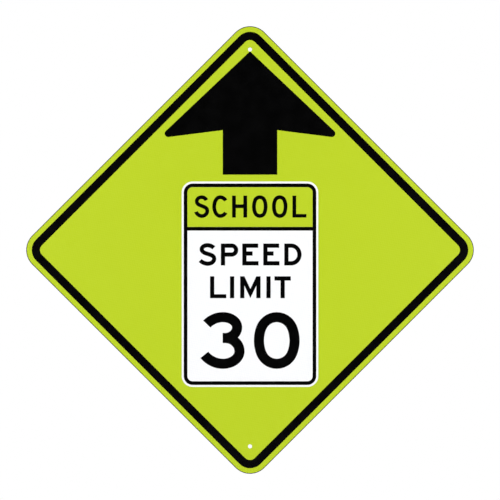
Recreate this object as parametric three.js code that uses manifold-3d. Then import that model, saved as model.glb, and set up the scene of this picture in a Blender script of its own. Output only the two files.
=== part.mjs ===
// School speed-limit-ahead sign: a flat aluminium diamond faced with retroreflective
// sheeting. The border, the arrow, the inset panel's frame and each character are cut from
// thin film and stuck on one by one.
//
// Millimetres, +Z up. The face looks along -Y, the bare back lies on the plane y = 0, and
// the origin is the middle of the back. Outlines are drawn as they read from the front,
// with x to the right and the outline's own y going up.

import * as THREE from "three";
import { mergeVertices } from "three/addons/utils/BufferGeometryUtils.js";
import Module from "manifold-3d";

const INCH = 25.4;

// Blank: a square sheet stood on one corner, with two bolt holes on its upright diagonal.
const BLANK_SIDE = 30 * INCH;
const BLANK_CORNER_RADIUS = 1.875 * INCH;
const BLANK_THICKNESS = 0.08 * INCH;
const BOLT_HOLE_RADIUS = 0.1875 * INCH;
const UPPER_HOLE_HEIGHT = 18.3125 * INCH;
const LOWER_HOLE_HEIGHT = -17.9375 * INCH;

// Stack: each layer stands on a thin bed of adhesive, which is left as a gap.
const SHEETING_THICKNESS = 0.4;
const FILM_THICKNESS = 0.1;
const ADHESIVE_GAP = 0.02;

// Face of the diamond.
const BARE_RIM = 1.7;
const BORDER_MARGIN = 0.51 * INCH;
const BORDER_WIDTH = 0.75 * INCH;

// Arrow, pointing up at the upper bolt hole.
const ARROW_TIP_HEIGHT = 18.145 * INCH;
const ARROW_HEAD_HALF_WIDTH = 8.4 * INCH;
const ARROW_HEAD_HEIGHT = 7.95 * INCH;
const ARROW_BARB_RADIUS = 0.32 * INCH;
const ARROW_SHAFT_WIDTH = 4.98 * INCH;
const ARROW_CROTCH_HEIGHT = 10.945 * INCH;
const ARROW_FOOT_HEIGHT = 6.88 * INCH;

// Inset panel.
const PANEL_WIDTH = 12.47 * INCH;
const PANEL_HEIGHT = 18.76 * INCH;
const PANEL_CENTRE_HEIGHT = -3.125 * INCH;
const PANEL_CORNER_RADIUS = 1 * INCH;
const FRAME_MARGIN = 0.185 * INCH;
const FRAME_LINE = 0.335 * INCH;
const DIVIDER_CENTRE_HEIGHT = 1.94 * INCH;
const BAND_FIT_GAP = 0.1;

// Styles of the characters. Round ones reach past the cap height and the baseline by the
// overshoot. The tips are where an S ends, as shares of its width and cap height.
const NARROW_STYLE = {
  height: 2 * INCH,
  stroke: 0.345 * INCH,
  overshoot: 0.03 * INCH,
  upperTip: [0.815, 0.79],
  lowerTip: [0.105, 0.265],
};
const WIDE_STYLE = {
  height: 2 * INCH,
  stroke: 0.39 * INCH,
  overshoot: 0.035 * INCH,
  upperTip: [0.855, 0.805],
  lowerTip: [0.065, 0.23],
};
const DIGIT_STYLE = {
  height: 5 * INCH,
  stroke: 0.925 * INCH,
  overshoot: 0.09 * INCH,
};

const CORNER_STEPS = 14;
const STROKE_STEPS = 14;
const HOLE_STEPS = 24;

const QUARTER_TURN = Math.PI / 2;

const wasm = await Module();
wasm.setup();

// ---------------------------------------------------------------- outlines

// A straight-sided outline through points given as [x, y].
function polygon(points) {
  return new THREE.Shape(points.map(([x, y]) => new THREE.Vector2(x, y)));
}

// A closed outline through corners given as { at, radius }, in either sense. A corner with
// a radius is turned by an arc that touches both of its sides.
function roundedPolygon(corners) {
  const points = [];
  corners.forEach(({ at, radius = 0 }, index) => {
    if (radius === 0) {
      points.push(at);
      return;
    }
    const before = corners.at(index - 1).at;
    const after = corners[(index + 1) % corners.length].at;
    const back = before.clone().sub(at).normalize();
    const ahead = after.clone().sub(at).normalize();
    const halfAngle = Math.acos(back.dot(ahead)) / 2;
    const bisector = back.clone().add(ahead).normalize();
    const centre = at.clone().addScaledVector(bisector, radius / Math.sin(halfAngle));
    const setback = radius / Math.tan(halfAngle);
    const start = at.clone().addScaledVector(back, setback);
    const sweep = Math.PI - 2 * halfAngle;
    const turn = Math.sign(back.cross(ahead)) * -1;
    for (let step = 0; step <= CORNER_STEPS; step += 1) {
      points.push(start.clone().rotateAround(centre, (turn * sweep * step) / CORNER_STEPS));
    }
  });
  return new THREE.Shape(points);
}

function rectangleCorners(left, bottom, right, top, lowerRadius, upperRadius) {
  return [
    { at: new THREE.Vector2(left, bottom), radius: lowerRadius },
    { at: new THREE.Vector2(right, bottom), radius: lowerRadius },
    { at: new THREE.Vector2(right, top), radius: upperRadius },
    { at: new THREE.Vector2(left, top), radius: upperRadius },
  ];
}

// The diamond's outline, set in from the blank's edge. Its corners stay concentric.
function diamond(inset) {
  const reach = (BLANK_SIDE / 2 - inset) * Math.SQRT2;
  const radius = BLANK_CORNER_RADIUS - inset;
  return roundedPolygon([
    { at: new THREE.Vector2(0, -reach), radius },
    { at: new THREE.Vector2(reach, 0), radius },
    { at: new THREE.Vector2(0, reach), radius },
    { at: new THREE.Vector2(-reach, 0), radius },
  ]);
}

// The inset panel's outline, set in from its edge.
function panelOutline(inset) {
  const radius = PANEL_CORNER_RADIUS - inset;
  return roundedPolygon(
    rectangleCorners(
      inset - PANEL_WIDTH / 2,
      PANEL_CENTRE_HEIGHT - PANEL_HEIGHT / 2 + inset,
      PANEL_WIDTH / 2 - inset,
      PANEL_CENTRE_HEIGHT + PANEL_HEIGHT / 2 - inset,
      radius,
      radius,
    ),
  );
}

// The frame's upper window. A positive fit gap gives the outline of a piece that drops
// into it.
function bandWindow(fitGap) {
  const inset = FRAME_MARGIN + FRAME_LINE + fitGap;
  return roundedPolygon(
    rectangleCorners(
      inset - PANEL_WIDTH / 2,
      DIVIDER_CENTRE_HEIGHT + FRAME_LINE / 2 + fitGap,
      PANEL_WIDTH / 2 - inset,
      PANEL_CENTRE_HEIGHT + PANEL_HEIGHT / 2 - inset,
      0,
      PANEL_CORNER_RADIUS - inset,
    ),
  );
}

// The frame's lower window.
function limitWindow() {
  const inset = FRAME_MARGIN + FRAME_LINE;
  return roundedPolygon(
    rectangleCorners(
      inset - PANEL_WIDTH / 2,
      PANEL_CENTRE_HEIGHT - PANEL_HEIGHT / 2 + inset,
      PANEL_WIDTH / 2 - inset,
      DIVIDER_CENTRE_HEIGHT - FRAME_LINE / 2,
      PANEL_CORNER_RADIUS - inset,
      0,
    ),
  );
}

function boltHole(height) {
  const centre = new THREE.Vector2(0, height);
  const start = new THREE.Vector2(BOLT_HOLE_RADIUS, height);
  const points = [];
  for (let step = 0; step < HOLE_STEPS; step += 1) {
    points.push(start.clone().rotateAround(centre, (2 * Math.PI * step) / HOLE_STEPS));
  }
  return new THREE.Shape(points);
}

function withHoles(outline, holes) {
  outline.holes.push(...holes);
  return outline;
}

// ---------------------------------------------------------------- strokes

// Part of an ellipse, in degrees, drawn in whichever sense leads from one to the other.
function arc(x, y, radiusX, radiusY, fromDegrees, toDegrees) {
  const from = THREE.MathUtils.degToRad(fromDegrees);
  const to = THREE.MathUtils.degToRad(toDegrees);
  return new THREE.EllipseCurve(x, y, radiusX, radiusY, from, to, to < from);
}

function line(x0, y0, x1, y1) {
  return new THREE.LineCurve(new THREE.Vector2(x0, y0), new THREE.Vector2(x1, y1));
}

// An arc that leaves the top or bottom of a bowl level and ends at the tip.
// reversed gives the same arc drawn from the tip to the bowl.
function hook(bowlX, bowlY, tipX, tipY, reversed) {
  const run = tipX - bowlX;
  const drop = bowlY - tipY;
  const radius = (run * run + drop * drop) / (2 * Math.abs(drop));
  const sweep = THREE.MathUtils.radToDeg(Math.asin(Math.abs(run) / radius));
  const level = drop > 0 ? 90 : -90;
  const end = level - sweep * Math.sign(run) * Math.sign(drop);
  const centreY = bowlY - Math.sign(drop) * radius;
  return reversed
    ? arc(bowlX, centreY, radius, radius, end, level)
    : arc(bowlX, centreY, radius, radius, level, end);
}

// A ribbon of even width that follows curves joined end to end, cut off square.
function ribbon(curves, width) {
  const leftSide = [];
  const rightSide = [];
  for (const curve of curves) {
    const steps = curve.isLineCurve ? 1 : STROKE_STEPS;
    const firstStep = leftSide.length === 0 ? 0 : 1;
    for (let step = firstStep; step <= steps; step += 1) {
      const point = curve.getPoint(step / steps);
      const along = curve.getTangent(step / steps);
      const across = new THREE.Vector2(-along.y, along.x).multiplyScalar(width / 2);
      leftSide.push(point.clone().add(across));
      rightSide.push(point.clone().sub(across));
    }
  }
  return new THREE.Shape([...rightSide, ...leftSide.reverse()]);
}

// A closed ring of even width around a four-centre oval: two small arcs at the top and
// bottom joined by two large ones at the sides.
function ovalRing(centreX, centreY, reachX, reachY, endRadius, width) {
  const endOffset = reachY - endRadius;
  const sideRadius =
    (reachX * reachX + endOffset * endOffset - endRadius * endRadius) /
    (2 * (reachX - endRadius));
  const sideAngle = Math.atan2(endOffset, sideRadius - reachX);
  const outline = (grow) => {
    const points = [];
    const sweepArc = (x, y, radius, from, to) => {
      for (let step = 0; step < STROKE_STEPS; step += 1) {
        const angle = from + ((to - from) * step) / STROKE_STEPS;
        points.push(
          new THREE.Vector2(x + radius * Math.cos(angle), y + radius * Math.sin(angle)),
        );
      }
    };
    const sideX = sideRadius - reachX;
    const side = sideRadius + grow;
    const end = endRadius + grow;
    sweepArc(centreX - sideX, centreY, side, -sideAngle, sideAngle);
    sweepArc(centreX, centreY + endOffset, end, sideAngle, Math.PI - sideAngle);
    sweepArc(centreX + sideX, centreY, side, Math.PI - sideAngle, Math.PI + sideAngle);
    sweepArc(centreX, centreY - endOffset, end, Math.PI + sideAngle, 2 * Math.PI - sideAngle);
    return new THREE.Shape(points);
  };
  return withHoles(outline(width / 2), [outline(-width / 2)]);
}

// ---------------------------------------------------------------- characters
// Each takes a width and a style, and gives its shapes in a cell whose lower left corner is
// the origin. Shapes of one character overlap and are joined.

function letterC(width, { height, stroke, overshoot }) {
  const half = stroke / 2;
  const bowlX = 0.52 * width;
  const top = height + overshoot - half;
  const bottom = half - overshoot;
  const middle = height / 2;
  const tipX = 0.905 * width;
  const tipRise = 0.275 * height;
  const reach = bowlX - half;
  return [
    ribbon(
      [
        hook(bowlX, top, tipX, middle + tipRise, true),
        arc(bowlX, middle, reach, top - middle, 90, 270),
        hook(bowlX, bottom, tipX, middle - tipRise, false),
      ],
      stroke,
    ),
  ];
}

function letterD(width, { height, stroke }) {
  const bowlX = 0.4 * width;
  const reachX = width - bowlX;
  const reachY = height / 2;
  const outer = polygon([[0, height], [0, 0]]);
  outer.lineTo(bowlX, 0);
  outer.absellipse(bowlX, reachY, reachX, reachY, -QUARTER_TURN, QUARTER_TURN, false, 0);
  const innerX = reachX - stroke;
  const innerY = reachY - stroke;
  const inner = polygon([[stroke, height - stroke], [stroke, stroke]]);
  inner.lineTo(bowlX, stroke);
  inner.absellipse(bowlX, reachY, innerX, innerY, -QUARTER_TURN, QUARTER_TURN, false, 0);
  return [withHoles(outer, [inner])];
}

function letterE(width, { height, stroke }) {
  const topReach = 0.98 * width;
  const middleReach = 0.635 * width;
  const middleBottom = 0.545 * height - stroke / 2;
  const middleTop = middleBottom + stroke;
  return [
    polygon([
      [0, 0],
      [width, 0],
      [width, stroke],
      [stroke, stroke],
      [stroke, middleBottom],
      [middleReach, middleBottom],
      [middleReach, middleTop],
      [stroke, middleTop],
      [stroke, height - stroke],
      [topReach, height - stroke],
      [topReach, height],
      [0, height],
    ]),
  ];
}

function letterH(width, { height, stroke }) {
  const barBottom = 0.515 * height - stroke / 2;
  const barTop = barBottom + stroke;
  return [
    polygon([
      [0, 0],
      [stroke, 0],
      [stroke, barBottom],
      [width - stroke, barBottom],
      [width - stroke, 0],
      [width, 0],
      [width, height],
      [width - stroke, height],
      [width - stroke, barTop],
      [stroke, barTop],
      [stroke, height],
      [0, height],
    ]),
  ];
}

function letterI(width, { height }) {
  return [polygon([[0, 0], [width, 0], [width, height], [0, height]])];
}

function letterL(width, { height, stroke }) {
  const foot = 0.93 * stroke;
  return [
    polygon([
      [0, 0],
      [width, 0],
      [width, foot],
      [stroke, foot],
      [stroke, height],
      [0, height],
    ]),
  ];
}

function letterM(width, { height, stroke }) {
  const notch = 0.425 * height;
  return [
    polygon([
      [0, 0],
      [stroke, 0],
      [stroke, height - notch],
      [width / 2, 0],
      [width - stroke, height - notch],
      [width - stroke, 0],
      [width, 0],
      [width, height],
      [width - stroke, height],
      [width / 2, notch],
      [stroke, height],
      [0, height],
    ]),
  ];
}

// endShare is the radius of the oval's top and bottom as a share of its half width.
function oval(width, { height, stroke, overshoot }, endShare) {
  const reachX = (width - stroke) / 2;
  const reachY = (height - stroke) / 2 + overshoot;
  return [ovalRing(width / 2, height / 2, reachX, reachY, endShare * reachX, stroke)];
}

function letterO(width, style) {
  return oval(width, style, 0.865);
}

function digit0(width, style) {
  return oval(width, style, 0.93);
}

function letterP(width, { height, stroke }) {
  const radius = 0.3 * height;
  const bowlX = width - radius;
  const bowlY = height - radius;
  const outer = polygon([[0, height], [0, 0]]);
  outer.lineTo(stroke, 0);
  outer.lineTo(stroke, bowlY - radius);
  outer.lineTo(bowlX, bowlY - radius);
  outer.absarc(bowlX, bowlY, radius, -QUARTER_TURN, QUARTER_TURN, false);
  const inner = polygon([[stroke, height - stroke], [stroke, bowlY - radius + stroke]]);
  inner.lineTo(bowlX, bowlY - radius + stroke);
  inner.absarc(bowlX, bowlY, radius - stroke, -QUARTER_TURN, QUARTER_TURN, false);
  return [withHoles(outer, [inner])];
}

function letterS(width, { height, stroke, overshoot, upperTip, lowerTip }) {
  const half = stroke / 2;
  const upperX = 0.485 * width;
  const lowerX = 0.515 * width;
  const top = height + overshoot - half;
  const bottom = half - overshoot;
  const upperY = 0.74 * height;
  const lowerY = 0.308 * height;
  const leftX = 0.032 * width + half;
  const rightX = width - half;
  const pull = 0.257 * height;
  const spine = new THREE.CubicBezierCurve(
    new THREE.Vector2(leftX, upperY),
    new THREE.Vector2(leftX, upperY - pull),
    new THREE.Vector2(rightX, lowerY + pull),
    new THREE.Vector2(rightX, lowerY),
  );
  return [
    ribbon(
      [
        hook(upperX, top, upperTip[0] * width, upperTip[1] * height, true),
        arc(upperX, upperY, upperX - leftX, top - upperY, 90, 180),
        spine,
        arc(lowerX, lowerY, rightX - lowerX, lowerY - bottom, 0, -90),
        hook(lowerX, bottom, lowerTip[0] * width, lowerTip[1] * height, false),
      ],
      stroke,
    ),
  ];
}

function letterT(width, { height, stroke }) {
  const stemLeft = (width - stroke) / 2;
  const stemRight = stemLeft + stroke;
  return [
    polygon([
      [stemLeft, 0],
      [stemRight, 0],
      [stemRight, height - stroke],
      [width, height - stroke],
      [width, height],
      [0, height],
      [0, height - stroke],
      [stemLeft, height - stroke],
    ]),
  ];
}

function digit3(width, { height, stroke, overshoot }) {
  const half = stroke / 2;
  const bowlX = 0.508 * width;
  const top = height + overshoot - half;
  const bottom = half - overshoot;
  const upperY = 0.742 * height;
  const lowerY = 0.302 * height;
  const waistY = 0.545 * height;
  const stubX = 0.5 * width;
  const waistX = 0.555 * width;
  const upperRight = 0.83 * width;
  const lowerRight = width - half;
  return [
    ribbon(
      [
        hook(bowlX, top, 0.137 * width, 0.8 * height, true),
        arc(bowlX, upperY, upperRight - bowlX, top - upperY, 90, 0),
        arc(waistX, upperY, upperRight - waistX, upperY - waistY, 0, -90),
        line(waistX, waistY, stubX, waistY),
      ],
      stroke,
    ),
    ribbon(
      [
        line(stubX, waistY, waistX, waistY),
        arc(waistX, lowerY, lowerRight - waistX, waistY - lowerY, 90, 0),
        arc(bowlX, lowerY, lowerRight - bowlX, lowerY - bottom, 0, -90),
        hook(bowlX, bottom, 0.082 * width, 0.238 * height, false),
      ],
      stroke,
    ),
  ];
}

// ---------------------------------------------------------------- solids

// A flat solid of the given thickness, as a closed mesh with shared vertices.
function extrude(shape, thickness) {
  const geometry = new THREE.ExtrudeGeometry(shape, {
    depth: thickness,
    bevelEnabled: false,
    curveSegments: STROKE_STEPS * 2,
  });
  geometry.deleteAttribute("normal");
  geometry.deleteAttribute("uv");
  return mergeVertices(geometry, 1e-4);
}

function toManifold(geometry) {
  return new wasm.Manifold(
    new wasm.Mesh({
      numProp: 3,
      vertProperties: new Float32Array(geometry.attributes.position.array),
      triVerts: new Uint32Array(geometry.index.array),
    }),
  );
}

function toGeometry(solid) {
  const mesh = solid.getMesh();
  const geometry = new THREE.BufferGeometry();
  geometry.setAttribute("position", new THREE.BufferAttribute(mesh.vertProperties, 3));
  geometry.setIndex(new THREE.BufferAttribute(mesh.triVerts, 1));
  return geometry;
}

function join(shapes, thickness) {
  const solids = shapes.map((shape) => toManifold(extrude(shape, thickness)));
  return toGeometry(solids.reduce((whole, solid) => whole.add(solid)));
}

// The punch went through the finished face, so it takes a bite out of the arrow's tip.
function cutByUpperHole(geometry) {
  const punch = extrude(boltHole(UPPER_HOLE_HEIGHT), 3 * FILM_THICKNESS);
  punch.translate(0, 0, -FILM_THICKNESS);
  return toGeometry(toManifold(geometry).subtract(toManifold(punch)));
}

// ---------------------------------------------------------------- materials

function bareAluminium() {
  return new THREE.MeshStandardMaterial({ color: 0xb9bcbf, roughness: 0.45, metalness: 1 });
}

function yellowGreenSheeting() {
  return new THREE.MeshStandardMaterial({ color: 0xc1d72d, roughness: 0.4, metalness: 0 });
}

function whiteSheeting() {
  return new THREE.MeshStandardMaterial({ color: 0xfafafa, roughness: 0.4, metalness: 0 });
}

function blackFilm() {
  return new THREE.MeshStandardMaterial({ color: 0x060606, roughness: 0.35, metalness: 0 });
}

// ---------------------------------------------------------------- assembly

const sign = new THREE.Group();

// Stands an outline's solid on the given level, counted forward from the bare back.
function place(name, geometry, level, material) {
  geometry.rotateX(QUARTER_TURN);
  geometry.computeVertexNormals();
  const mesh = new THREE.Mesh(geometry, material);
  mesh.name = name;
  mesh.position.y = -level;
  sign.add(mesh);
}

const SHEETING_LEVEL = BLANK_THICKNESS + ADHESIVE_GAP;
const FACE_LEVEL = SHEETING_LEVEL + SHEETING_THICKNESS + ADHESIVE_GAP;
const PANEL_FACE_LEVEL = FACE_LEVEL + SHEETING_THICKNESS + ADHESIVE_GAP;
const BAND_FACE_LEVEL = PANEL_FACE_LEVEL + FILM_THICKNESS + ADHESIVE_GAP;

function boltHoles() {
  return [boltHole(UPPER_HOLE_HEIGHT), boltHole(LOWER_HOLE_HEIGHT)];
}

function addBlank() {
  const outline = withHoles(diamond(0), boltHoles());
  place("sign_blank", extrude(outline, BLANK_THICKNESS), 0, bareAluminium());
}

function addBackgroundSheeting() {
  const outline = withHoles(diamond(BARE_RIM), boltHoles());
  const geometry = extrude(outline, SHEETING_THICKNESS);
  place("background_sheeting", geometry, SHEETING_LEVEL, yellowGreenSheeting());
}

function addBorderBand() {
  const outline = withHoles(diamond(BORDER_MARGIN), [diamond(BORDER_MARGIN + BORDER_WIDTH)]);
  place("border_band", extrude(outline, FILM_THICKNESS), FACE_LEVEL, blackFilm());
}

function addArrow() {
  const corner = (x, height, radius = 0) => ({ at: new THREE.Vector2(x, height), radius });
  const halfShaft = ARROW_SHAFT_WIDTH / 2;
  const barbHeight = ARROW_TIP_HEIGHT - ARROW_HEAD_HEIGHT;
  const outline = roundedPolygon([
    corner(-halfShaft, ARROW_FOOT_HEIGHT),
    corner(halfShaft, ARROW_FOOT_HEIGHT),
    corner(halfShaft, ARROW_CROTCH_HEIGHT),
    corner(ARROW_HEAD_HALF_WIDTH, barbHeight, ARROW_BARB_RADIUS),
    corner(0, ARROW_TIP_HEIGHT),
    corner(-ARROW_HEAD_HALF_WIDTH, barbHeight, ARROW_BARB_RADIUS),
    corner(-halfShaft, ARROW_CROTCH_HEIGHT),
  ]);
  const geometry = cutByUpperHole(extrude(outline, FILM_THICKNESS));
  place("arrow", geometry, FACE_LEVEL, blackFilm());
}

function addPanel() {
  const sheeting = extrude(panelOutline(0), SHEETING_THICKNESS);
  place("panel_sheeting", sheeting, FACE_LEVEL, whiteSheeting());

  const windows = [bandWindow(0), limitWindow()];
  const frame = extrude(withHoles(panelOutline(FRAME_MARGIN), windows), FILM_THICKNESS);
  place("panel_frame", frame, PANEL_FACE_LEVEL, blackFilm());

  const band = extrude(bandWindow(BAND_FIT_GAP), FILM_THICKNESS);
  place("school_band", band, PANEL_FACE_LEVEL, yellowGreenSheeting());
}

// Sets a line of characters from its left end. Each entry is [name ending, drawing
// function, width, space after it], and the cells stand on the baseline.
function addLine(prefix, characters, style, lineStart, baseline, level) {
  let left = lineStart;
  for (const [ending, draw, width, space] of characters) {
    const geometry = join(draw(width, style), FILM_THICKNESS);
    geometry.translate(left, baseline, 0);
    place(`${prefix}_${ending}`, geometry, level, blackFilm());
    left += width + space;
  }
}

function addSchoolLine() {
  const letters = [
    ["letter_s", letterS, 1.345 * INCH, 0.285 * INCH],
    ["letter_c", letterC, 1.355 * INCH, 0.455 * INCH],
    ["letter_h", letterH, 1.375 * INCH, 0.45 * INCH],
    ["letter_o_1", letterO, 1.41 * INCH, 0.41 * INCH],
    ["letter_o_2", letterO, 1.41 * INCH, 0.455 * INCH],
    ["letter_l", letterL, 1.28 * INCH, 0],
  ];
  addLine("school", letters, NARROW_STYLE, -5.075 * INCH, 2.965 * INCH, BAND_FACE_LEVEL);
}

function addSpeedLine() {
  const letters = [
    ["letter_s", letterS, 1.575 * INCH, 0.415 * INCH],
    ["letter_p", letterP, 1.585 * INCH, 0.37 * INCH],
    ["letter_e_1", letterE, 1.485 * INCH, 0.43 * INCH],
    ["letter_e_2", letterE, 1.485 * INCH, 0.435 * INCH],
    ["letter_d", letterD, 1.58 * INCH, 0],
  ];
  addLine("speed", letters, WIDE_STYLE, -4.65 * INCH, -1.41 * INCH, PANEL_FACE_LEVEL);
}

function addLimitLine() {
  const letters = [
    ["letter_l", letterL, 1.485 * INCH, 0.335 * INCH],
    ["letter_i_1", letterI, WIDE_STYLE.stroke, 0.54 * INCH],
    ["letter_m", letterM, 1.865 * INCH, 0.53 * INCH],
    ["letter_i_2", letterI, WIDE_STYLE.stroke, 0.35 * INCH],
    ["letter_t", letterT, 1.49 * INCH, 0],
  ];
  addLine("limit", letters, WIDE_STYLE, -3.65 * INCH, -4.4 * INCH, PANEL_FACE_LEVEL);
}

function addNumberLine() {
  const digits = [
    ["digit_3", digit3, 4 * INCH, 0.85 * INCH],
    ["digit_0", digit0, 4.175 * INCH, 0],
  ];
  addLine("number", digits, DIGIT_STYLE, -4.495 * INCH, -10.76 * INCH, PANEL_FACE_LEVEL);
}

addBlank();
addBackgroundSheeting();
addBorderBand();
addArrow();
addPanel();
addSchoolLine();
addSpeedLine();
addLimitLine();
addNumberLine();

export default sign;
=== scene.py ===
import math

import bmesh
import bpy
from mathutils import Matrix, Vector


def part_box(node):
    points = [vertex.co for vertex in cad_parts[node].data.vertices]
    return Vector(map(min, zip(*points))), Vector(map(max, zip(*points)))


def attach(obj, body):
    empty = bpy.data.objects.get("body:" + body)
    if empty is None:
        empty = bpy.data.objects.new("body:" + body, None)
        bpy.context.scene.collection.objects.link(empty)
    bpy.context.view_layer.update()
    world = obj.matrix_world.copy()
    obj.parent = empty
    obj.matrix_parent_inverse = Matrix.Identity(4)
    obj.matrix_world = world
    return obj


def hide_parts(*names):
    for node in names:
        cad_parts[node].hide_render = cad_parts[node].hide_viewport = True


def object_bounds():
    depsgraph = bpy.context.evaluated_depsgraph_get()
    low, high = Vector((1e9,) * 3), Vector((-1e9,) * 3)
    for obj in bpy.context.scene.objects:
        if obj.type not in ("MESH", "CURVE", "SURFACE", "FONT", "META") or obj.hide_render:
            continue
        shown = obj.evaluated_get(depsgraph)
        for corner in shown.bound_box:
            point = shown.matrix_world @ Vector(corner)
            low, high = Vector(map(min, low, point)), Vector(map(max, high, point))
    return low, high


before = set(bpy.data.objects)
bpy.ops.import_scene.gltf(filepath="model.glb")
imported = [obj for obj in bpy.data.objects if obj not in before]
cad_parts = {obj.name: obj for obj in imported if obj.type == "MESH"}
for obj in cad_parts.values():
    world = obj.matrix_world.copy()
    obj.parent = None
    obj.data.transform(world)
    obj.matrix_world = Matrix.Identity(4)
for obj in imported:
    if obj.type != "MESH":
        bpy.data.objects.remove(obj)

# School speed-limit-ahead sign: a flat aluminium diamond faced with prismatic reflective
# sheeting and cut black film. Metres, +Z up. The face looks along -Y and the bare back lies
# on the plane y = 0.

cad_low, cad_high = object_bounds()

MM = 0.001
INCH = 25.4 * MM

# Blank, as cut by the shear and the punch. The rim is the metal left bare round the face.
BLANK_HALF_SIDE = 15 * INCH
BLANK_CORNER_RADIUS = 1.875 * INCH
BOLT_HOLE_RADIUS = 0.1875 * INCH
BOLT_HOLE_HEIGHTS = (18.3125 * INCH, -17.9375 * INCH)
BARE_RIM = 1.7 * MM
CORNER_STEPS = 28
HOLE_STEPS = 64

# Edges, as how far in from the outline and how far down from the flat they are eased. The
# blade cuts cleanly as deep as the land, and tears the rest of the metal slightly further in.
ROLLED_IN = (0.35 * MM, 0.28 * MM)
DEBURRED = (0.2 * MM, 0.12 * MM)
KNIFE_CUT = (0.12 * MM, 0.1 * MM)
LAND_DEPTH = 0.9 * MM
TEAR_INSET = 0.07 * MM

# The CAD model's layers are kept with their cut rims eased, apart from two nodes.
REPLACED_NODES = ("sign_blank", "background_sheeting")
WELD_DISTANCE = 0.001 * MM
EASED_SHARE_OF_THICKNESS = 0.3
EASED_FROM_ANGLE = math.radians(50)

# Prismatic sheeting: sealed lines cross in diamonds, and the roll ran along the blank's edge.
CELL_PITCH = 5.2 * MM
SEAL_WIDTH = 0.9 * MM
SEAL_CORE_SHARE = 0.3
SEAL_HALF_ANGLE = math.radians(33)
ROLL_DIRECTION = math.radians(45)

# Scratches on the back, as turns in radians from the direction in which it was rolled.
SCRATCH_LENGTH = 220 * MM
SCRATCH_WIDTH = 1.6 * MM
SCRATCH_TURNS = (0.5, -1.1)

# Camera: square to the face, and so far away that the sign fills its share of the picture.
FOCAL_LENGTH = 120.0
SENSOR_WIDTH = 36.0
SIGN_SHARE_OF_PICTURE = 0.8954

# Studio. A fade runs between two cosines of the angle from the camera's direction.
STUDIO_LIGHT = 1.7
STUDIO_TINT = (0.97, 0.985, 1, 1)
FLAG_FADE = (0.3, 0.8)
BACK_FADE = (-0.75, 0.0)
BACK_SHARE = 0.25
LIGHT_SIZE = 2.6

# Floor: well below the sign, and fading into the white page before the camera sees its rim.
FLOOR_HEIGHT = -2.2
FLOOR_RADIUS = 10.4
FLOOR_FADE_START = 4.0
FLOOR_SIDES = 96


# ---------------------------------------------------------------- node helpers

def node(tree, kind, inputs=(), **settings):
    """A new shader node. Inputs are given by name or number, as values or as sockets."""
    made = tree.nodes.new("ShaderNode" + kind)
    for name, value in settings.items():
        setattr(made, name, value)
    for key, value in dict(inputs).items():
        if isinstance(value, bpy.types.NodeSocket):
            tree.links.new(value, made.inputs[key])
        else:
            made.inputs[key].default_value = value
    return made


def maths(tree, operation, first, second=0.0):
    return node(tree, "Math", {0: first, 1: second}, operation=operation).outputs[0]


def ramp(tree, value, start, end, low=0.0, high=1.0):
    """A smooth step of value from start to end, as a number from low to high."""
    inputs = {0: value, 1: start, 2: end, 3: low, 4: high}
    return node(tree, "MapRange", inputs, interpolation_type="SMOOTHSTEP").outputs[0]


def mix_colour(tree, share, first, second):
    """The first colour at a share of 0, and the second at 1."""
    inputs = {0: share, 6: first, 7: second}
    return node(tree, "Mix", inputs, data_type="RGBA").outputs[2]


def grey(level):
    return (level, level, level, 1)


def dot_product(tree, point, direction):
    inputs = {0: point, 1: direction}
    return node(tree, "VectorMath", inputs, operation="DOT_PRODUCT").outputs["Value"]


def new_finish(name):
    """A material with an empty Principled surface, as (material, node tree, surface)."""
    material = bpy.data.materials.new(name)
    material.use_nodes = True
    tree = material.node_tree
    tree.nodes.clear()
    surface = node(tree, "BsdfPrincipled")
    node(tree, "OutputMaterial", {"Surface": surface.outputs[0]})
    return material, tree, surface


def object_point(tree):
    """The point in the sign's own frame: each piece lies at the origin."""
    return node(tree, "TexCoord").outputs["Object"]


def noise(tree, point, scale, detail, roughness=0.5):
    inputs = {"Vector": point, "Scale": scale, "Detail": detail, "Roughness": roughness}
    return node(tree, "TexNoise", inputs).outputs["Fac"]


def stretched(tree, point, direction, along, across):
    """The point turned to a direction in the sheet, and scaled so that a pattern repeats so
    many times in a metre along it and across it."""
    inputs = {0: point, 2: (0, direction, 0), 3: (1 / along, 1, 1 / across)}
    return node(tree, "Mapping", inputs, vector_type="TEXTURE").outputs[0]


def bump(tree, height, distance, normal=None):
    inputs = {"Height": height, "Distance": distance, "Strength": 1.0}
    if normal is not None:
        inputs["Normal"] = normal
    return node(tree, "Bump", inputs).outputs[0]


# ---------------------------------------------------------------- camera, light and floor

def add_camera():
    """Looks along +Y at the middle of the face."""
    data = bpy.data.cameras.new("camera")
    data.lens = FOCAL_LENGTH
    data.sensor_width = SENSOR_WIDTH
    camera = bpy.data.objects.new("camera", data)
    picture_width = (cad_high.x - cad_low.x) / SIGN_SHARE_OF_PICTURE
    distance = picture_width * FOCAL_LENGTH / SENSOR_WIDTH
    camera.location = (0, cad_low.y - distance, (cad_low.z + cad_high.z) / 2)
    camera.rotation_euler = (math.pi / 2, 0, 0)
    bpy.context.scene.collection.objects.link(camera)
    bpy.context.scene.camera = camera


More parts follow.
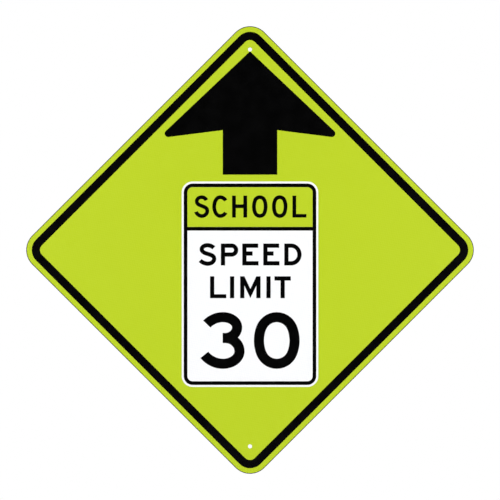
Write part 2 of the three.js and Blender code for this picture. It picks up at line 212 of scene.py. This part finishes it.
def set_world():
    """A white page behind the sign. The studio is bright at the sides and above, has a dark
    flag behind the camera, and is dim behind the sign, so that the bare metal isn't washed
    out."""
    world = bpy.data.worlds.new("studio")
    bpy.context.scene.world = world
    world.use_nodes = True
    tree = world.node_tree
    tree.nodes.clear()
    direction = node(tree, "TexCoord").outputs["Generated"]
    towards_camera = dot_product(tree, direction, (0, -1, 0))
    flagged = ramp(tree, towards_camera, *FLAG_FADE, low=STUDIO_LIGHT, high=0)
    behind = ramp(tree, towards_camera, *BACK_FADE, low=BACK_SHARE)
    strength = maths(tree, "MULTIPLY", flagged, behind)
    page = node(tree, "Background", {"Color": grey(1), "Strength": 1.0})
    studio = node(tree, "Background", {"Color": STUDIO_TINT, "Strength": strength})
    seen_by_camera = node(tree, "LightPath").outputs["Is Camera Ray"]
    inputs = {0: seen_by_camera, 1: studio.outputs[0], 2: page.outputs[0]}
    both = node(tree, "MixShader", inputs)
    node(tree, "OutputWorld", {"Surface": both.outputs[0]})


def add_softbox(name, location, power, size=LIGHT_SIZE):
    """A square area light aimed at the sign's middle."""
    data = bpy.data.lights.new(name, "AREA")
    data.size = size
    data.energy = power
    light = bpy.data.objects.new(name, data)
    light.location = location
    light.rotation_euler = (-Vector(location)).to_track_quat("-Z", "Y").to_euler()
    light.visible_camera = False
    bpy.context.scene.collection.objects.link(light)


def floor_finish():
    """Pale and faintly clouded, fading away towards the rim."""
    material, tree, surface = new_finish("pale_floor")
    point = object_point(tree)
    cloud = noise(tree, point, scale=0.6, detail=1)
    from_middle = node(tree, "VectorMath", {0: point}, operation="LENGTH").outputs["Value"]
    tone = mix_colour(tree, cloud, grey(0.48), grey(0.54))
    fade = ramp(tree, from_middle, FLOOR_FADE_START, FLOOR_RADIUS, low=1, high=0)
    tree.links.new(tone, surface.inputs["Base Color"])
    tree.links.new(fade, surface.inputs["Alpha"])
    surface.inputs["Roughness"].default_value = 0.8
    return material


def add_floor():
    shape = bmesh.new()
    bmesh.ops.create_circle(shape, cap_ends=True, segments=FLOOR_SIDES, radius=FLOOR_RADIUS)
    data = bpy.data.meshes.new("floor")
    shape.to_mesh(data)
    shape.free()
    data.materials.append(floor_finish())
    floor = bpy.data.objects.new("floor", data)
    floor.location.z = FLOOR_HEIGHT
    bpy.context.scene.collection.objects.link(floor)


# ---------------------------------------------------------------- finishes

def uneven_sheet(tree, point):
    """The slight bow and waves that a thin sheet always has."""
    return bump(tree, noise(tree, point, scale=2.6, detail=1), 1.6 * MM)


def prism_cells(tree, point):
    """Prismatic sheeting, as (seal lines from 0 to 1, tone of each cell from 0 to 1)."""
    half_width = SEAL_WIDTH / CELL_PITCH / 2
    lines, cells = [], []
    for side in (-1, 1):
        angle = ROLL_DIRECTION + side * SEAL_HALF_ANGLE
        across = Vector((math.cos(angle), 0, math.sin(angle))) / CELL_PITCH
        cells_across = dot_product(tree, point, across)
        from_line = maths(tree, "PINGPONG", cells_across, 0.5)
        core = SEAL_CORE_SHARE * half_width
        lines.append(ramp(tree, from_line, core, half_width, low=1, high=0))
        cells.append(maths(tree, "ROUND", maths(tree, "ADD", cells_across, 0.5)))
    cell = node(tree, "CombineXYZ", {0: cells[0], 1: cells[1]}).outputs[0]
    tone = node(tree, "TexWhiteNoise", {0: cell}, noise_dimensions="2D").outputs["Value"]
    return maths(tree, "MAXIMUM", *lines), tone


def sheeting(name, cell_dark, cell_light, seal):
    """Prismatic sheeting under a clear glossy top film. Half of a cell's tone is its own and
    half follows a broad cloud."""
    material, tree, surface = new_finish(name)
    point = object_point(tree)
    lines, tone = prism_cells(tree, point)
    cloud = noise(tree, point, scale=5, detail=3)
    share = maths(tree, "MULTIPLY", maths(tree, "ADD", tone, cloud), 0.5)
    cells = mix_colour(tree, share, cell_dark, cell_light)
    peel = noise(tree, point, scale=420, detail=2)
    film = bump(tree, peel, 0.012 * MM, uneven_sheet(tree, point))
    sunken_seals = bump(tree, lines, -0.02 * MM, film)
    rough = ramp(tree, tone, 0, 1, low=0.42, high=0.5)
    tree.links.new(mix_colour(tree, lines, cells, seal), surface.inputs["Base Color"])
    tree.links.new(sunken_seals, surface.inputs["Normal"])
    tree.links.new(film, surface.inputs["Coat Normal"])
    tree.links.new(rough, surface.inputs["Roughness"])
    surface.inputs["Coat Weight"].default_value = 0.6
    surface.inputs["Coat Roughness"].default_value = 0.16
    surface.inputs["Specular IOR Level"].default_value = 0.3
    return material


def yellow_green_sheeting():
    return sheeting(
        "finish_yellow_green_sheeting",
        cell_dark=(0.438, 0.562, 0.007, 1),
        cell_light=(0.452, 0.580, 0.008, 1),
        seal=(0.478, 0.598, 0.022, 1),
    )


def white_sheeting():
    return sheeting(
        "finish_white_sheeting",
        cell_dark=(0.860, 0.862, 0.868, 1),
        cell_light=(0.885, 0.887, 0.890, 1),
        seal=(0.830, 0.834, 0.845, 1),
    )


def black_film():
    """Satin cut film. The cells of the sheeting under it show through as a faint relief."""
    material, tree, surface = new_finish("finish_black_film")
    point = object_point(tree)
    lines, _ = prism_cells(tree, point)
    haze = noise(tree, point, scale=30, detail=4)
    peel = noise(tree, point, scale=600, detail=2)
    tone = mix_colour(tree, haze, grey(0.0004), (0.0009, 0.0009, 0.001, 1))
    rough = ramp(tree, haze, 0.3, 0.7, low=0.19, high=0.24)
    relief = bump(tree, lines, -0.012 * MM, uneven_sheet(tree, point))
    tree.links.new(tone, surface.inputs["Base Color"])
    tree.links.new(rough, surface.inputs["Roughness"])
    tree.links.new(bump(tree, peel, 0.01 * MM, relief), surface.inputs["Normal"])
    surface.inputs["Specular IOR Level"].default_value = 0.3
    return material


def hairlines(tree, point, turn, scale, rarity):
    """Sparse fine scratches in one direction, as a number from 0 to 1."""
    direction = ROLL_DIRECTION + turn
    drawn = stretched(tree, point, direction, 1 / SCRATCH_LENGTH, 1 / SCRATCH_WIDTH)
    return ramp(tree, noise(tree, drawn, scale, detail=1), rarity, rarity + 0.03)


def rolled_aluminium():
    """Mill finish with fine rolling lines under a thin, faintly green-gold conversion coat,
    with the hairline scratches and dull patches that stacking and handling leave."""
    material, tree, surface = new_finish("finish_rolled_aluminium")
    point = object_point(tree)
    bare = (0.70, 0.705, 0.695, 1)
    coated = (0.655, 0.668, 0.61, 1)
    band_tone = (0.56, 0.565, 0.56, 1)
    line_tone = (0.56, 0.565, 0.55, 1)
    scratch_tone = (0.82, 0.82, 0.81, 1)

    broad = stretched(tree, point, ROLL_DIRECTION, along=0.4, across=30)
    narrow = stretched(tree, point, ROLL_DIRECTION, along=2.2, across=700)
    hair_thin = stretched(tree, point, ROLL_DIRECTION, along=14, across=2600)
    bands = noise(tree, broad, scale=1, detail=2)
    lines = noise(tree, narrow, scale=1, detail=4, roughness=0.7)
    fine = noise(tree, hair_thin, scale=1, detail=2)
    coat = noise(tree, point, scale=3.5, detail=4)
    handled = ramp(tree, noise(tree, point, scale=7, detail=5, roughness=0.62), 0.53, 0.68)
    one_way = hairlines(tree, point, SCRATCH_TURNS[0], scale=1.0, rarity=0.74)
    other_way = hairlines(tree, point, SCRATCH_TURNS[1], scale=0.8, rarity=0.75)
    scratches = maths(tree, "MAXIMUM", one_way, other_way)

    metal = mix_colour(tree, coat, bare, coated)
    banded = mix_colour(tree, ramp(tree, bands, 0.35, 0.65, high=0.35), metal, band_tone)
    streaked = mix_colour(tree, ramp(tree, lines, 0.3, 0.7, high=0.7), banded, line_tone)
    scratched = mix_colour(tree, scratches, streaked, scratch_tone)
    grain = ramp(tree, fine, 0.3, 0.7, low=0.27, high=0.36)
    rough = maths(tree, "ADD", grain, maths(tree, "MULTIPLY", handled, 0.1))
    rolled = bump(tree, lines, 0.006 * MM, uneven_sheet(tree, point))
    grained = bump(tree, fine, 0.002 * MM, rolled)
    tree.links.new(scratched, surface.inputs["Base Color"])
    tree.links.new(rough, surface.inputs["Roughness"])
    tree.links.new(bump(tree, scratches, -0.01 * MM, grained), surface.inputs["Normal"])
    surface.inputs["Metallic"].default_value = 1.0
    return material


def sheared_aluminium():
    """Cut metal in a near-black tone, which is painted shade round the rim and in the bolt
    holes, with the blade's lines through its thickness and a few bright nicks."""
    material, tree, surface = new_finish("finish_sheared_aluminium")
    point = object_point(tree)
    lines_per_metre = (2600, 260, 2600)
    drag = node(tree, "Mapping", {0: point, 3: lines_per_metre}).outputs[0]
    lines = noise(tree, drag, scale=1, detail=3)
    nicks = ramp(tree, noise(tree, point, scale=260, detail=3, roughness=0.6), 0.66, 0.7)
    # Painted shade: the cut metal is near black, for a shade line round the rim and inside the
    # bolt holes.
    painted_shade_tone = mix_colour(tree, lines, (0.022, 0.022, 0.024, 1), (0.05, 0.05, 0.052, 1))
    rough = ramp(tree, lines, 0.3, 0.7, low=0.25, high=0.4)
    marked = bump(tree, nicks, -0.03 * MM, bump(tree, lines, 0.01 * MM))
    tree.links.new(mix_colour(tree, nicks, painted_shade_tone, grey(0.4)), surface.inputs["Base Color"])
    tree.links.new(rough, surface.inputs["Roughness"])
    tree.links.new(marked, surface.inputs["Normal"])
    surface.inputs["Metallic"].default_value = 1.0
    return material


# ---------------------------------------------------------------- mesh pieces

def diamond_ring(inset, y):
    """The blank's outline at one depth, set in from its edge."""
    reach = (BLANK_HALF_SIDE - BLANK_CORNER_RADIUS) * math.sqrt(2)
    radius = BLANK_CORNER_RADIUS - inset
    points = []
    for corner in range(4):
        middle = corner * math.pi / 2
        for step in range(CORNER_STEPS + 1):
            angle = middle + math.pi / 2 * (step / CORNER_STEPS - 0.5)
            x = reach * math.cos(middle) + radius * math.cos(angle)
            z = reach * math.sin(middle) + radius * math.sin(angle)
            points.append((x, y, z))
    return points


def hole_ring(height, radius, y):
    turns = [2 * math.pi * step / HOLE_STEPS for step in range(HOLE_STEPS)]
    return [(radius * math.cos(turn), y, height + radius * math.sin(turn)) for turn in turns]


def plate_walls(rim, bore):
    """The outer edge and then the two bolt holes, from profiles of (inset, y) pairs."""
    outer = [diamond_ring(inset, y) for inset, y in rim]
    holes = [
        [hole_ring(height, BOLT_HOLE_RADIUS + inset, y) for inset, y in bore]
        for height in BOLT_HOLE_HEIGHTS
    ]
    return [outer] + holes


def rounded_edge(width, depth, steps):
    """A quarter of an ellipse from the flat into the wall, as (inset, depth) pairs."""
    turns = [math.pi / 2 * step / steps for step in range(steps + 1)]
    return [(width * (1 - math.sin(turn)), depth * (1 - math.cos(turn))) for turn in turns]


def join_rings(shape, rings, material_index):
    """A smooth wall from each ring to the one behind it."""
    for ahead, behind in zip(rings, rings[1:]):
        for here in range(len(ahead)):
            after = (here + 1) % len(ahead)
            face = shape.faces.new((ahead[here], ahead[after], behind[after], behind[here]))
            face.smooth = True
            face.material_index = material_index


def fill_flat(shape, rings, material_index):
    """A flat face inside the first ring, with the other rings as holes in it."""
    edges = [shape.edges.get((ring[i - 1], ring[i])) for ring in rings for i in range(len(ring))]
    filled = bmesh.ops.triangle_fill(shape, use_beauty=True, edges=edges)["geom"]
    for face in (made for made in filled if isinstance(made, bmesh.types.BMFace)):
        face.material_index = material_index


def plate(name, walls, finish, edge_finish):
    """A closed plate. A wall is a list of rings from front to back: the first wall is the
    outer edge and the others line the holes. The front takes the edge's finish too, because
    only the rim of a covered front shows."""
    shape = bmesh.new()
    fronts, backs = [], []
    for points in walls:
        rings = [[shape.verts.new(point) for point in ring] for ring in points]
        join_rings(shape, rings, material_index=1)
        fronts.append(rings[0])
        backs.append(rings[-1])
    fill_flat(shape, fronts, material_index=1)
    fill_flat(shape, backs, material_index=0)
    bmesh.ops.recalc_face_normals(shape, faces=shape.faces)
    data = bpy.data.meshes.new(name)
    shape.to_mesh(data)
    shape.free()
    data.materials.append(finish)
    data.materials.append(edge_finish)
    piece = bpy.data.objects.new(name, data)
    bpy.context.scene.collection.objects.link(piece)
    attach(piece, "root")
    return piece


def add_blank(finish, edge_finish):
    """The metal: its rim rolled in by the blade at the front, torn below and deburred. The
    punch went through the finished face, so the holes start square."""
    front, back = (corner.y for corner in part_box("sign_blank"))
    rolled_in = [(inset, front + depth) for inset, depth in rounded_edge(*ROLLED_IN, steps=5)]
    land = [(0, front + LAND_DEPTH)]
    deburred = reversed(rounded_edge(*DEBURRED, steps=4))
    torn = [(TEAR_INSET + inset, back - depth) for inset, depth in deburred]
    walls = plate_walls(rim=rolled_in + land + torn, bore=[(0, front)] + land + torn)
    piece = plate("aluminium_blank", walls, finish, edge_finish)
    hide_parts("sign_blank")


def add_background(finish):
    """The face sheeting, knife-cut round the rim and punched with the metal."""
    front, back = (corner.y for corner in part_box("background_sheeting"))
    cut = [(inset, front + depth) for inset, depth in rounded_edge(*KNIFE_CUT, steps=4)]
    profile = cut + [(0, back)]
    walls = plate_walls(rim=[(BARE_RIM + inset, y) for inset, y in profile], bore=profile)
    piece = plate("face_sheeting", walls, finish, finish)
    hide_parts("background_sheeting")


def finish_layer(piece, finish):
    """A CAD layer with its knife-cut rim eased, in its own finish."""
    low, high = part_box(piece.name)
    piece.modifiers.new("weld", "WELD").merge_threshold = WELD_DISTANCE
    ease = piece.modifiers.new("ease", "BEVEL")
    ease.width = EASED_SHARE_OF_THICKNESS * (high.y - low.y)
    ease.segments = 2
    ease.limit_method = "ANGLE"
    ease.angle_limit = EASED_FROM_ANGLE
    piece.material_slots[0].material = finish


# ---------------------------------------------------------------- the scene

add_camera()
set_world()
add_softbox("key_left", location=(-3.1, -3.0, 1.1), power=101)
add_softbox("key_right", location=(3.1, -3.0, 0.8), power=100)
add_softbox("low_sheen", location=(-3.9, -3.1, -1.9), power=8, size=1.6)
add_softbox("back_left", location=(-3.0, 3.0, 1.9), power=30)
add_softbox("back_right", location=(4.4, 2.6, 0.6), power=30)
add_floor()

finishes = {
    "yellow_green_sheeting": yellow_green_sheeting(),
    "white_sheeting": white_sheeting(),
    "black_film": black_film(),
}
add_blank(rolled_aluminium(), sheared_aluminium())
add_background(finishes["yellow_green_sheeting"])
for name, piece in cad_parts.items():
    if name not in REPLACED_NODES:
        finish_layer(piece, finishes[piece.material_slots[0].material.name])

# Colours come out as they were mixed, with no film look over them.
bpy.context.scene.view_settings.view_transform = "Standard"
